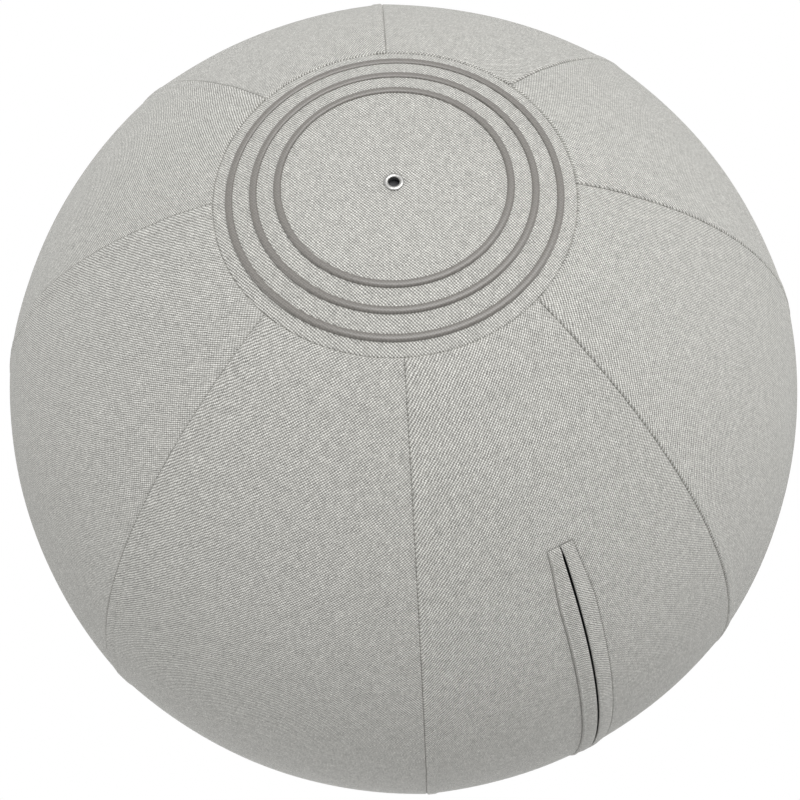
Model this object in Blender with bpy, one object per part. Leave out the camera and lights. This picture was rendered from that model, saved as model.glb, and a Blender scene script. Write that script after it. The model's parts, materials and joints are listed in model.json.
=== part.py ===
"""Fabric-covered exercise ball, 65 cm across, standing on its base. Metres, +Z up, origin under it.

A hollow inner ball with a plugged valve sits in a zipped cover of eight side panels, a base disc with
three anti-slip rings and an eyelet, and a top cap. The zip runs up one panel, between two welts.
Angles called polar are measured at the ball's centre, from straight down.
"""

import math

import bmesh
import bpy
from mathutils import Matrix, Vector

MM = 0.001

# The cover
BALL_RADIUS = 325 * MM  # at the seams, which stand proudest
CLOTH = 1.2 * MM
GAP = 0.3 * MM  # between pieces that touch
PANEL_COUNT = 8
PANEL_DIP = 2 * MM  # how far the middle of a panel lies inside the seams
PANEL_CELLS = (6, 20)  # across and along a panel
DIP_ENDS = math.radians(22)  # the dip fades out over this much of each end of a panel
BASE_SEAM = math.radians(19.5)
TOP_SEAM = math.radians(169.4)
FLAT_DEPTH = 318.2 * MM  # the base disc is pressed flat this far below the centre
FLAT_BLEND = 1 * MM

# What is on the base disc
RING_RADII = {"inner": 68.3 * MM, "middle": 83 * MM, "outer": 98 * MM}
RING_WIDTH = 4.4 * MM
RING_HEIGHT = 1.7 * MM
RING_STEPS = 48
EYELET_BORE = 3.75 * MM
EYELET_BARREL = 4.3 * MM
EYELET_FLANGE = 6 * MM
EYELET_SHEET = 0.6 * MM
WASHER_RADIUS = 6.6 * MM
EYELET_STEPS = 28

# The inner ball and its valve, whose axis points out under the middle of the zip
BLADDER_RADIUS = 315 * MM
BLADDER_WALL = 1 * MM
BLADDER_STEPS = (32, 16)  # round the valve's axis, and from the valve to the far side
VALVE_POLAR = math.radians(90)
SEAT_RADIUS = 9 * MM
SEAT_FLANGE = 14 * MM
SEAT_BORE = 4 * MM
SEAT_DEPTH = 15 * MM
PLUG_HEAD = 7 * MM
PLUG_HEAD_DEPTH = 1.3 * MM
PLUG_TIP = 3 * MM
VALVE_STEPS = 24

# The zip. Heights are distances from the ball's centre, and half-widths are from the zip's middle.
ZIP_AZIMUTH = math.radians(-22.5)  # the zip faces -Y, turned by this much about Z
ZIP_START = math.radians(42.4)
ZIP_END = math.radians(130.6)
ZIP_STEPS = 26
SLOT_HALF = 12 * MM
SLOT_END_SHARE = 0.74  # how much of its width the opening keeps at its ends
SLOT_TAPER = math.radians(8)
WELT_INNER = 0.8 * MM
WELT_OUTER = 11.6 * MM
WELT_TOP = 324.5 * MM
WELT_EDGE = 323.4 * MM
WELT_UNDER = 322.7 * MM
TAPE_INNER = 0.9 * MM
TAPE_BEND = 5.2 * MM
TAPE_OUTER = 16 * MM
TAPE_THICK = 0.7 * MM
TAPE_BOTTOM = 317.4 * MM
TAPE_SEWN = 319.9 * MM  # its outer part runs higher, along the underside of the panel
COIL_INNER = 0.6 * MM
COIL_OUTER = 2.6 * MM
COIL_BOTTOM = 318.4 * MM
COIL_TOP = 320.8 * MM
STOP_LENGTH = 2.4 * MM
SLIDER_LENGTH = 9 * MM
SLIDER_HALF = 4 * MM
SLIDER_PLATE = 1.1 * MM
SLIDER_BOTTOM = 315.9 * MM
SLIDER_TOP = 322.3 * MM
POST_HALF = 0.35 * MM
LIP = 0.6 * MM
BRIDGE_HALF = 0.5 * MM
BRIDGE_TOP = 328.5 * MM
BRIDGE_CORNER = 2.4 * MM
PIN_HEIGHT = 326.2 * MM
PIN_HOLE = 1.1 * MM
PIN_THICK = 1.2 * MM
PULL_LENGTH = 24 * MM
PULL_ARM_HALF = 2.6 * MM
PULL_TAB_HALF = 3.5 * MM
PULL_WINDOW = 5 * MM


def angle_of(length, radius=COIL_TOP):
    """The angle at the ball's centre that an arc of this length takes."""
    return length / radius


COIL_START = ZIP_START + angle_of(STOP_LENGTH + 3 * GAP)
COIL_END = ZIP_END - angle_of(STOP_LENGTH + 3 * GAP)
SLIDER_REST = COIL_END - angle_of(SLIDER_LENGTH / 2 + 3 * GAP)


def cover_depth(radius):
    """How far below the centre the base disc's outer face lies, at this distance from the ball's axis."""
    sphere = math.sqrt(BALL_RADIUS**2 - radius**2)
    return (sphere + FLAT_DEPTH - math.hypot(sphere - FLAT_DEPTH, FLAT_BLEND)) / 2


CENTRE = cover_depth(RING_RADII["inner"]) + RING_HEIGHT


def smooth(share):
    share = min(max(share, 0), 1)
    return share * share * (3 - 2 * share)


def cover_radius(polar, across):
    """The distance from the centre to a panel's outer face. across runs from -1 to 1 between its seams."""
    fade = smooth((polar - BASE_SEAM) / DIP_ENDS) * smooth((TOP_SEAM - polar) / DIP_ENDS)
    return BALL_RADIUS - PANEL_DIP * fade * (1 - across * across)


def on_ball(polar, azimuth, radius):
    """A point about the ball's centre. azimuth 0 is -Y, and it grows towards +X."""
    level = radius * math.sin(polar)
    return Vector((level * math.sin(azimuth), -level * math.cos(azimuth), -radius * math.cos(polar)))


def on_zip(across, height, polar):
    """A point in the zip's own frame, across its middle plane and height from the crosswise axis."""
    return Vector((across, -height * math.sin(polar), -height * math.cos(polar)))


def steps(first, last, count):
    return [first + (last - first) * i / count for i in range(count + 1)]


def clear_scene():
    for obj in list(bpy.data.objects):
        bpy.data.objects.remove(obj)


def material(name, colour, roughness, metallic=0):
    made = bpy.data.materials.new(name)
    made.use_nodes = True
    shader = made.node_tree.nodes["Principled BSDF"]
    shader.inputs["Base Color"].default_value = (*colour, 1)
    shader.inputs["Roughness"].default_value = roughness
    shader.inputs["Metallic"].default_value = metallic
    return made


def place(name, bm, finish, parent, sharp=30):
    """Turns bm into a named object under parent, with its faces out and its round faces smooth."""
    bmesh.ops.remove_doubles(bm, verts=bm.verts, dist=1e-7)
    bmesh.ops.recalc_face_normals(bm, faces=bm.faces)
    mesh = bpy.data.meshes.new(name)
    bm.to_mesh(mesh)
    bm.free()
    mesh.materials.append(finish)
    mesh.shade_smooth()
    mesh.set_sharp_from_angle(angle=math.radians(sharp))
    obj = bpy.data.objects.new(name, mesh)
    bpy.context.scene.collection.objects.link(obj)
    obj.parent = parent
    return obj


def empty(name, location, rotation=(0, 0, 0), parent=None):
    obj = bpy.data.objects.new(name, None)
    obj.location = location
    obj.rotation_euler = rotation
    obj.parent = parent
    bpy.context.scene.collection.objects.link(obj)
    return obj


def loft(rings):
    """A solid through rings of points, capped at both ends."""
    bm = bmesh.new()
    loops = [[bm.verts.new(point) for point in ring] for ring in rings]
    bm.faces.new(loops[0])
    bm.faces.new(loops[-1])
    for here, there in zip(loops, loops[1:]):
        for i in range(len(here)):
            bm.faces.new((here[i - 1], here[i], there[i], there[i - 1]))
    return bm


def turned(outline, count):
    """The solid that the outline of (radius, height) points sweeps round Z. Its ends may be on the axis."""
    bm = bmesh.new()
    corners = [bm.verts.new((radius, 0, height)) for radius, height in outline]
    ends = list(zip(corners, corners[1:] + corners[:1]))
    edges = [bm.edges.new(pair) for pair in ends if pair[0].co.x > 0 or pair[1].co.x > 0]
    bmesh.ops.spin(
        bm,
        geom=corners + edges,
        axis=(0, 0, 1),
        angle=math.tau,
        steps=count,
        use_merge=True,
    )
    bmesh.ops.remove_doubles(bm, verts=bm.verts, dist=1e-7)
    return bm


def sheet(point, across, along):
    """A closed solid of cloth. point(u, v, inwards) gives its outer face where inwards is 0."""
    bm = bmesh.new()
    faces = []
    for inwards in (0, CLOTH):
        faces.append([[bm.verts.new(point(u, v, inwards)) for u in across] for v in along])
    outer, inner = faces
    for face in faces:
        for low, high in zip(face, face[1:]):
            for i in range(len(across) - 1):
                bm.faces.new((low[i], low[i + 1], high[i + 1], high[i]))
    rims = []
    for face in faces:
        sides = [row[-1] for row in face[1:-1]], [row[0] for row in face[-2:0:-1]]
        rims.append(face[0] + sides[0] + face[-1][::-1] + sides[1])
    for i in range(len(rims[0])):
        bm.faces.new((rims[0][i - 1], rims[0][i], rims[1][i], rims[1][i - 1]))
    return bm


def panel(name, middle, cells, finish, ball):
    """One gore of the cover, from the base disc's seam to the top cap's."""

    def point(across, polar, inwards):
        radius = cover_radius(polar, across) - inwards
        half = math.pi / PANEL_COUNT - GAP / 2 / (radius * math.sin(polar))
        return on_ball(polar, middle + across * half, radius)

    seam = angle_of(GAP / 2, BALL_RADIUS)
    along = steps(BASE_SEAM + seam, TOP_SEAM - seam, cells[1])
    return place(name, sheet(point, steps(-1, 1, cells[0]), along), finish, ball)


def slot_share(polar):
    """How much of its full width the zip's opening has here. It is drawn in towards both ends."""
    from_end = min(polar - ZIP_START, ZIP_END - polar)
    return SLOT_END_SHARE + (1 - SLOT_END_SHARE) * smooth(from_end / SLOT_TAPER)


def cut_slot(obj, zip_frame):
    """The opening for the zip, along the middle of its panel."""
    low, high = BALL_RADIUS - 8 * CLOTH, BALL_RADIUS + 8 * CLOTH
    rings = []
    for polar in steps(ZIP_START, ZIP_END, ZIP_STEPS):
        half = SLOT_HALF * slot_share(polar)
        section = ((-half, low), (half, low), (half, high), (-half, high))
        rings.append([on_zip(x, h, polar) for x, h in section])
    cutter = place("slot_cutter", loft(rings), obj.data.materials[0], zip_frame)
    cutter.hide_render = True
    cutter.display_type = "WIRE"
    slot = obj.modifiers.new("slot", "BOOLEAN")
    slot.operation = "DIFFERENCE"
    slot.solver = "EXACT"
    slot.object = cutter


def base_disc(finish, ball):
    """The cloth disc under the ball, pressed flat in the middle, with a hole for the eyelet."""
    hole = EYELET_BARREL + GAP
    edge = (BALL_RADIUS - CLOTH) * math.sin(BASE_SEAM) - GAP / 2
    radii = [hole, 0.03, 0.05, 0.063, *RING_RADII.values(), edge]
    outer = [(r, -cover_depth(r)) for r in radii]
    inner = [(r, CLOTH - cover_depth(r)) for r in reversed(radii)]
    place("base_disc", turned(outer + inner, RING_STEPS), finish, ball)


def top_cap(finish, ball):
    """The round piece of cloth that the panels meet at on top."""
    rim = math.pi - TOP_SEAM - angle_of(GAP / 2, BALL_RADIUS)
    outer = [(BALL_RADIUS * math.sin(a), BALL_RADIUS * math.cos(a)) for a in steps(0, rim, 3)]
    inside = BALL_RADIUS - CLOTH
    inner = [(inside * math.sin(a), inside * math.cos(a)) for a in steps(rim, 0, 3)]
    place("top_cap", turned(outer + inner, RING_STEPS), finish, ball)


def anti_slip_ring(name, radius, finish, ball):
    """A rounded bead round the base disc, with a level crown. The inner one meets the floor."""
    crown = -cover_depth(radius) - RING_HEIGHT
    section = ((-1, 0), (-0.93, 0.4), (-0.68, 0.8), (-0.36, 1), (0.36, 1), (0.68, 0.8), (0.93, 0.4), (1, 0))
    outline = []
    for side, rise in section:
        reach = radius + side * RING_WIDTH / 2
        foot = -cover_depth(reach) - GAP
        outline.append((reach, foot + (crown - foot) * rise))
    place(name, turned(outline, RING_STEPS), finish, ball)


def eyelet(finish, ball):
    """A metal eyelet through the base disc: a flange below, a barrel, and a lip rolled over its washer."""
    cloth = -cover_depth(0)
    flange = cloth - GAP
    washer = cloth + CLOTH + GAP
    lip = washer + EYELET_SHEET + GAP
    outline = [
        (EYELET_BORE, lip + EYELET_SHEET),
        (EYELET_BORE, flange - EYELET_SHEET * 0.5),
        (EYELET_BORE + EYELET_SHEET, flange - EYELET_SHEET),
        (EYELET_FLANGE - EYELET_SHEET, flange - EYELET_SHEET),
        (EYELET_FLANGE, flange - EYELET_SHEET * 0.4),
        (EYELET_FLANGE, flange),
        (EYELET_BARREL, flange),
        (EYELET_BARREL, lip),
        (EYELET_BARREL + 1 * MM, lip),
        (EYELET_BARREL + 1 * MM, lip + EYELET_SHEET * 0.5),
        (EYELET_BARREL, lip + EYELET_SHEET),
    ]
    place("eyelet", turned(outline, EYELET_STEPS), finish, ball)
    inner = EYELET_BARREL + GAP
    ring = [
        (inner, washer),
        (WASHER_RADIUS, washer),
        (WASHER_RADIUS, washer + EYELET_SHEET * 0.6),
        (WASHER_RADIUS - EYELET_SHEET / 2, washer + EYELET_SHEET),
        (inner, washer + EYELET_SHEET),
    ]
    place("eyelet_washer", turned(ring, EYELET_STEPS), finish, ball)


def inner_ball(vinyl, pale, valve_frame):
    """The inflated ball, with its valve seat and plug. All three are turned round the valve's axis."""
    inside = BLADDER_RADIUS - BLADDER_WALL
    rim = math.asin((SEAT_RADIUS + GAP) / BLADDER_RADIUS)
    turns = [rim + (math.pi - rim) * i / BLADDER_STEPS[1] for i in range(BLADDER_STEPS[1] + 1)]
    outer = [(BLADDER_RADIUS * math.sin(a), BLADDER_RADIUS * math.cos(a)) for a in turns[:-1]]
    inner = [(inside * math.sin(a), inside * math.cos(a)) for a in reversed(turns[:-1])]
    poles = [(0, -BLADDER_RADIUS), (0, -inside)]
    place("inner_ball", turned(outer + poles + inner, BLADDER_STEPS[0]), vinyl, valve_frame)

    top = BLADDER_RADIUS - 0.1 * MM
    recess = PLUG_HEAD_DEPTH + GAP
    flange = inside - 3 * MM
    seat = [
        (SEAT_BORE, top - SEAT_DEPTH),
        (SEAT_BORE + 2 * MM, top - SEAT_DEPTH),
        (SEAT_RADIUS, flange - 1.5 * MM),
        (SEAT_FLANGE, flange - 0.6 * MM),
        (SEAT_FLANGE, flange),
        (SEAT_RADIUS, flange + 0.6 * MM),
        (SEAT_RADIUS, top),
        (PLUG_HEAD + GAP, top),
        (PLUG_HEAD + GAP, top - recess),
        (SEAT_BORE, top - recess),
    ]
    place("valve_seat", turned(seat, VALVE_STEPS), vinyl, valve_frame)
    stem = SEAT_BORE - GAP
    plug = [
        (0, top),
        (PLUG_HEAD - 0.4 * MM, top),
        (PLUG_HEAD, top - 0.4 * MM),
        (PLUG_HEAD, top - PLUG_HEAD_DEPTH),
        (stem, top - PLUG_HEAD_DEPTH),
        (stem, top - SEAT_DEPTH + 3 * MM),
        (PLUG_TIP, top - SEAT_DEPTH + 0.5 * MM),
        (0, top - SEAT_DEPTH + 0.5 * MM),
    ]
    place("valve_plug", turned(plug, VALVE_STEPS), pale, valve_frame)


def zip_strip(name, section, first, last, count, finish, zip_frame):
    """A strip that follows the ball. section(polar) gives its (across, height) corners at a polar angle."""
    rings = [[on_zip(x, h, polar) for x, h in section(polar)] for polar in steps(first, last, count)]
    return place(name, loft(rings), finish, zip_frame)


def welt(side):
    """A folded strip of cloth, proudest at its fold beside the zip, with room under it for the slider."""
    clear = SLIDER_HALF + 0.8 * MM

    def section(polar):
        edge = WELT_OUTER * slot_share(polar)
        return [
            (side * WELT_INNER, WELT_UNDER),
            (side * WELT_INNER, WELT_TOP - 0.5 * MM),
            (side * (WELT_INNER + 0.6 * MM), WELT_TOP),
            (side * clear, WELT_TOP - 0.2 * MM),
            (side * (edge - 1.6 * MM), WELT_EDGE + 0.5 * MM),
            (side * edge, WELT_EDGE),
            (side * edge, WELT_EDGE - CLOTH),
            (side * clear, WELT_UNDER),
        ]

    return section


def tape(side):
    """Half of the zip's tape: low beside the coils, and higher where it is sewn to the panel."""
    low = [(side * TAPE_INNER, TAPE_BOTTOM), (side * TAPE_BEND, TAPE_BOTTOM)]
    high = [(side * (TAPE_BEND + 4 * MM), TAPE_SEWN), (side * TAPE_OUTER, TAPE_SEWN)]
    under = low + high
    over = [(x, height + TAPE_THICK) for x, height in reversed(under)]
    return lambda polar: under + over


def coil(side):
    crown = (COIL_INNER + COIL_OUTER) / 2
    corners = [
        (side * COIL_INNER, COIL_BOTTOM),
        (side * COIL_INNER, COIL_TOP - 0.8 * MM),
        (side * crown, COIL_TOP),
        (side * COIL_OUTER, COIL_TOP - 0.8 * MM),
        (side * COIL_OUTER, COIL_BOTTOM),
    ]
    return lambda polar: corners


def stop(start, end):
    corners = [(start, COIL_BOTTOM), (start, COIL_TOP), (end, COIL_TOP), (end, COIL_BOTTOM)]
    return lambda polar: corners


def zip_chain(cloth, nylon, metal, zip_frame):
    """Everything of the zip that stays on the cover: the welts, tapes, coils and stops."""
    start, end = ZIP_START, ZIP_END
    margin = angle_of(2 * GAP)
    allowance = angle_of(3 * MM)
    stop_length = angle_of(STOP_LENGTH)
    for label, side in (("left", -1), ("right", 1)):
        zip_strip(f"zip_welt_{label}", welt(side), start + margin, end - margin, ZIP_STEPS, cloth, zip_frame)
        zip_strip(
            f"zip_tape_{label}", tape(side), start - allowance, end + allowance, ZIP_STEPS, nylon, zip_frame
        )
        zip_strip(f"zip_coil_{label}", coil(side), COIL_START, COIL_END, ZIP_STEPS, nylon, zip_frame)
        top_stop = stop(side * COIL_INNER, side * COIL_OUTER)
        zip_strip(f"zip_top_stop_{label}", top_stop, end - stop_length, end, 1, metal, zip_frame)
    bottom_stop = stop(-COIL_OUTER, COIL_OUTER)
    zip_strip("zip_bottom_stop", bottom_stop, start, start + stop_length, 1, metal, zip_frame)


def zip_slider(metal, slider_frame):
    """Two plates joined by a post that runs between the coils, and a bridge through the gap in the welts.

    It is drawn in the slider's own frame: its origin is the ball's centre, +X runs across the zip, +Z points
    out through the slider, and +Y runs along the zip towards its closed end.
    """
    inner_plate = SLIDER_BOTTOM + SLIDER_PLATE
    outer_plate = SLIDER_TOP - SLIDER_PLATE
    half = [
        (SLIDER_HALF, SLIDER_BOTTOM),
        (SLIDER_HALF, inner_plate),
        (POST_HALF, inner_plate),
        (POST_HALF, outer_plate),
        (SLIDER_HALF - LIP, outer_plate),
        (SLIDER_HALF - LIP, outer_plate - LIP),
        (SLIDER_HALF, outer_plate - LIP),
        (SLIDER_HALF, SLIDER_TOP),
        (BRIDGE_HALF, SLIDER_TOP),
        (BRIDGE_HALF, BRIDGE_TOP),
    ]
    section = half + [(-x, z) for x, z in reversed(half)]
    ends = (-SLIDER_LENGTH / 2, SLIDER_LENGTH / 2)
    bm = loft([[Vector((x, y, z)) for x, z in section] for y in ends])
    high = [edge for edge in bm.edges if min(vert.co.z for vert in edge.verts) > BRIDGE_TOP - GAP]
    corners = [edge for edge in high if abs(edge.verts[0].co.y - edge.verts[1].co.y) < GAP]
    bmesh.ops.bevel(bm, geom=corners, offset=BRIDGE_CORNER, segments=3, profile=0.5, affect="EDGES")
    slider = place("zip_slider", bm, metal, slider_frame)

    bm = bmesh.new()
    bmesh.ops.create_cone(
        bm,
        cap_ends=True,
        segments=16,
        radius1=PIN_HOLE,
        radius2=PIN_HOLE,
        depth=8 * BRIDGE_HALF,
        matrix=Matrix.Translation((0, 0, PIN_HEIGHT)) @ Matrix.Rotation(math.pi / 2, 4, "Y"),
    )
    drill = place("pin_drill", bm, metal, slider_frame)
    drill.hide_render = True
    drill.display_type = "WIRE"
    hole = slider.modifiers.new("pin_hole", "BOOLEAN")
    hole.operation = "DIFFERENCE"
    hole.solver = "EXACT"
    hole.object = drill


def zip_pull(metal, pull_frame):
    """A flat tab with a window for the bridge. The bar at the window's end is the pin it swings on.

    Its frame is the pin's: +X is the pin's axis, and the tab points along -Y.
    """
    pin = PIN_THICK / 2
    window = BRIDGE_HALF + 0.45 * MM
    shoulder = PULL_WINDOW + 1.5 * MM
    tip = PULL_LENGTH - PULL_TAB_HALF
    right = [(PULL_ARM_HALF, pin), (PULL_ARM_HALF, -shoulder + 1 * MM), (PULL_TAB_HALF, -shoulder - 1 * MM)]
    half = PULL_TAB_HALF
    rounding = [(half * math.cos(a), -tip - half * math.sin(a)) for a in steps(0, math.pi, 8)]
    outline = right + rounding + [(-x, y) for x, y in reversed(right)]
    hole = [(window, -pin), (window, -PULL_WINDOW), (-window, -PULL_WINDOW), (-window, -pin)]
    bm = bmesh.new()
    edges = []
    for loop in (outline, hole):
        verts = [bm.verts.new((x, y, -pin)) for x, y in loop]
        edges += [bm.edges.new((verts[i - 1], verts[i])) for i in range(len(verts))]
    bmesh.ops.triangle_fill(bm, use_beauty=True, edges=edges)
    top = bmesh.ops.extrude_face_region(bm, geom=bm.faces[:], use_keep_orig=True)["geom"]
    raised = [item for item in top if isinstance(item, bmesh.types.BMVert)]
    bmesh.ops.translate(bm, vec=(0, 0, PIN_THICK), verts=raised)
    place("zip_pull", bm, metal, pull_frame)


def build():
    clear_scene()
    cloth = material("melange_cloth", (0.42, 0.41, 0.39), 0.9)
    silicone = material("taupe_silicone", (0.30, 0.285, 0.27), 0.45)
    steel = material("nickel_steel", (0.72, 0.71, 0.69), 0.25, 1)
    nylon = material("black_nylon", (0.02, 0.022, 0.026), 0.55)
    vinyl = material("charcoal_vinyl", (0.05, 0.052, 0.058), 0.4)
    pale = material("white_plastic", (0.8, 0.8, 0.78), 0.35)

    ball = empty("ball_centre", (0, 0, CENTRE))
    zip_frame = empty("zip_plane", (0, 0, 0), (0, 0, ZIP_AZIMUTH), ball)

    base_disc(cloth, ball)
    top_cap(cloth, ball)
    spacing = math.tau / PANEL_COUNT
    for i in range(1, PANEL_COUNT):
        panel(f"side_panel_{i}", ZIP_AZIMUTH + i * spacing, PANEL_CELLS, cloth, ball)
    zip_panel = panel("zip_panel", ZIP_AZIMUTH, (8, 30), cloth, ball)
    cut_slot(zip_panel, zip_frame)
    for label, radius in RING_RADII.items():
        anti_slip_ring(f"anti_slip_ring_{label}", radius, silicone, ball)
    eyelet(steel, ball)

    valve_frame = empty("valve_axis", (0, 0, 0), (math.pi - VALVE_POLAR, 0, 0), zip_frame)
    inner_ball(vinyl, pale, valve_frame)

    zip_chain(cloth, nylon, steel, zip_frame)
    slider_frame = empty("slider_axis", (0, 0, 0), (math.pi - SLIDER_REST, 0, 0), zip_frame)
    zip_slider(steel, slider_frame)
    pull_frame = empty("pull_pin", (0, 0, PIN_HEIGHT), (0, 0, 0), slider_frame)
    zip_pull(steel, pull_frame)


build()
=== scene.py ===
"""The looks of the fabric-covered exercise ball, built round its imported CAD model. Metres, +Z up.

Angles called polar are measured at the ball's centre, from straight down. An azimuth of 0 is -Y, and it
grows towards +X. The cloth pieces carry a UV map in metres, which their weave is drawn on.
"""

import json
import math

import bmesh
import bpy
import numpy as np
from mathutils import Matrix, Vector


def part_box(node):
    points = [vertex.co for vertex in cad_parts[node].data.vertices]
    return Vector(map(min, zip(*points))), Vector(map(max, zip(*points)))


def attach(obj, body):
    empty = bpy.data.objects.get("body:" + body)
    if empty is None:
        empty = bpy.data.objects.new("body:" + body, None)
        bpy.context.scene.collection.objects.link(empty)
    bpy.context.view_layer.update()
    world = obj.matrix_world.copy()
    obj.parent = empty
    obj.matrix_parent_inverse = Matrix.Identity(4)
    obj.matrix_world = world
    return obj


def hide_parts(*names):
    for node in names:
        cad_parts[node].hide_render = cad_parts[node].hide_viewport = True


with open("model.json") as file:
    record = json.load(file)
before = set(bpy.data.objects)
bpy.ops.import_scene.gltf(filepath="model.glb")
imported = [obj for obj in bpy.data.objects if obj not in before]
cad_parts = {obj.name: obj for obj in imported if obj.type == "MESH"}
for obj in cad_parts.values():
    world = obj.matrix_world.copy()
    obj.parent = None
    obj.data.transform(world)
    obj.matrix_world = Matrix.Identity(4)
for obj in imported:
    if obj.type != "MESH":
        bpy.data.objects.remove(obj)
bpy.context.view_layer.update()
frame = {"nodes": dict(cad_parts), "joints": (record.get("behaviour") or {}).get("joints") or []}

MM = 0.001

# What the frame says
JOINTS = {joint["name"]: joint for joint in frame["joints"]}
CENTRE = Vector(JOINTS["slider_travel"]["pos_m"])
ZIP_AXIS = Vector(JOINTS["slider_travel"]["axis"])
PULL_PIN = Vector(JOINTS["pull_swing"]["pos_m"])
ZIP_AZIMUTH = math.atan2(ZIP_AXIS.y, ZIP_AXIS.x)
BALL_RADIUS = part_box("top_cap")[1].z - CENTRE.z
FLAT_DEPTH = CENTRE.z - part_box("base_disc")[0].z
BLADDER_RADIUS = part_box("inner_ball")[1].x
EYELET_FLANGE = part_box("eyelet")[1].x

# The cover
CLOTH = 1.2 * MM
GAP = 0.3 * MM
SEAM_GAP = 0.03 * MM
PANEL_COUNT = 8
PANEL_DIP = 2 * MM
DIP_ENDS = math.radians(22)
BASE_SEAM = math.radians(19.5)
TOP_SEAM = math.radians(169.4)
FLAT_BLEND = 1 * MM
ALLOWANCE = 7.3 * MM  # seam allowances lie under the panel before each seam, by azimuth
ALLOWANCE_STEP = 0.7 * MM
ALLOWANCE_LIFT = 0.6 * MM
ROLL_DEPTH = 0.85 * MM  # how far a sewn edge turns in
ROLL_REACH = 0.55 * MM
FACING_EDGE = math.radians(6.3)  # a facing under the panels ends this far past the base seam
FACING_SHIFT = math.radians(0.8)
FACING_LIFT = 0.7 * MM
EDGE_STEPS = np.array([0, 0.15, 0.3, 0.45, 0.65, 0.9, 1.3, 2, 3.5, 5.5, 6.6, 7.3, 8, 8.8, 11]) * MM
ROW_STEPS = EDGE_STEPS[:9]
SLOT_CELLS = 8

# What is on the base disc
RING_WIDTH = 4.4 * MM
EYELET_BORE = 3.75 * MM
EYELET_MOUTH = 3.3 * MM  # the rolled flange closes in on the bore
EYELET_BARREL = 4.3 * MM
EYELET_SHEET = 0.6 * MM
EYELET_ROLL = 0.7 * MM

# Inside the cover
BLADDER_WALL = 1 * MM
SEAT_RADIUS = 9 * MM

# The zip
ZIP_START = math.radians(42.4)
ZIP_END = math.radians(130.6)
SLOT_HALF = 12 * MM
SLOT_END_SHARE = 0.74  # how much of its width the opening keeps at its ends
SLOT_TAPER = math.radians(8)
WELT_INNER = 0.75 * MM
# Half the gap between the welts where they draw together, at both ends. The slider's bridge is wider
# than that, and cuts a little into them when the slider is at either end.
WELT_CLOSED = 0.15 * MM
WELT_OUTER = 11.6 * MM
WELT_TOP = 324.5 * MM
WELT_EDGE = 323.4 * MM
WELT_LAYER = 0.8 * MM
WELT_RIDGE = 1 * MM
TAPE_INNER = 0.9 * MM
TAPE_BEND = 5.2 * MM
TAPE_OUTER = 16 * MM
TAPE_THICK = 0.7 * MM
TAPE_BOTTOM = 317.4 * MM
TAPE_SEWN = 319.9 * MM  # its outer part runs higher, along the underside of the panel
COIL_INNER = 0.6 * MM  # the coils stand apart, because the slider's post passes between them
COIL_OUTER = 2.6 * MM
COIL_BOTTOM = 318.4 * MM
COIL_TOP = 320.8 * MM
COIL_PITCH = 1.5 * MM
COIL_WIRE = 0.32 * MM
STOP_LENGTH = 2.4 * MM
SLIDER_LENGTH = 9 * MM
SLIDER_PLATE = 1.1 * MM
SLIDER_LIP = 0.3 * MM  # low enough to stay clear of the tape
SLIDER_BOTTOM = 315.9 * MM
SLIDER_TOP = 322.3 * MM
BRIDGE_HALF = 0.5 * MM
BRIDGE_TOP = 328.5 * MM
PULL_THICK = 1.2 * MM
PULL_LENGTH = 24 * MM
PULL_ARM_HALF = 2.6 * MM
PULL_TAB_HALF = 3.5 * MM
PULL_WINDOW = 5 * MM

YARN = 0.98 * MM  # from one yarn to the next
FLOOR_RADIUS = 5
FLOOR_CLEAR, FLOOR_GONE = 0.55, 1.5  # where the floor starts and ends fading into the surround
SURROUND = 0.6  # how bright the surround is as a light. The camera sees it as 1

# The camera
CAMERA_TILT, CAMERA_SWING, CAMERA_ROLL = math.radians(23.5), math.radians(0.81), math.radians(2.54)
CAMERA_DISTANCE = 2.6  # in radii of the ball
CAMERA_LENS, CAMERA_SENSOR = 42.7, 36
AIM_LEFT, AIM_DOWN = 0.0037, 0.00075  # how far from the centre it aims, as a share of the distance


# ---- Shapes of the ball, on numpy arrays

def smooth(share):
    """An even rise from 0 to 1 as share goes from 0 to 1."""
    share = np.clip(share, 0, 1)
    return share * share * (3 - 2 * share)


def cover_depth(radius):
    """How far below the centre the base disc's outer face lies, this far from the ball's axis."""
    sphere = np.sqrt(BALL_RADIUS**2 - radius**2)
    return (sphere + FLAT_DEPTH - np.hypot(sphere - FLAT_DEPTH, FLAT_BLEND)) / 2


def cover_radius(polar, across):
    """The distance from the centre to a panel's outer face. across runs from -1 to 1 between its seams."""
    fade = smooth((polar - BASE_SEAM) / DIP_ENDS) * smooth((TOP_SEAM - polar) / DIP_ENDS)
    return BALL_RADIUS - PANEL_DIP * fade * (1 - across * across)


def on_ball(polar, azimuth, radius):
    """A point this far from the ball's centre."""
    level = radius * np.sin(polar)
    points = (level * np.sin(azimuth), -level * np.cos(azimuth), -radius * np.cos(polar))
    return np.stack(np.broadcast_arrays(*points), -1) + np.array(CENTRE)


def on_zip(across, height, polar):
    """A point beside the zip, across its middle plane and height from the slider's axis."""
    side = np.array((math.cos(ZIP_AZIMUTH), math.sin(ZIP_AZIMUTH), 0))
    front = np.array((math.sin(ZIP_AZIMUTH), -math.cos(ZIP_AZIMUTH), 0))
    across, height, polar = np.broadcast_arrays(across, height, polar)
    out = np.sin(polar)[..., None] * front + np.cos(polar)[..., None] * np.array((0, 0, -1))
    return across[..., None] * side + height[..., None] * out + np.array(CENTRE)


def slot_share(polar):
    """How much of its full width the zip's opening has here. It is drawn in towards both ends."""
    from_end = np.minimum(polar - ZIP_START, ZIP_END - polar)
    return SLOT_END_SHARE + (1 - SLOT_END_SHARE) * smooth(from_end / SLOT_TAPER)


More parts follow.
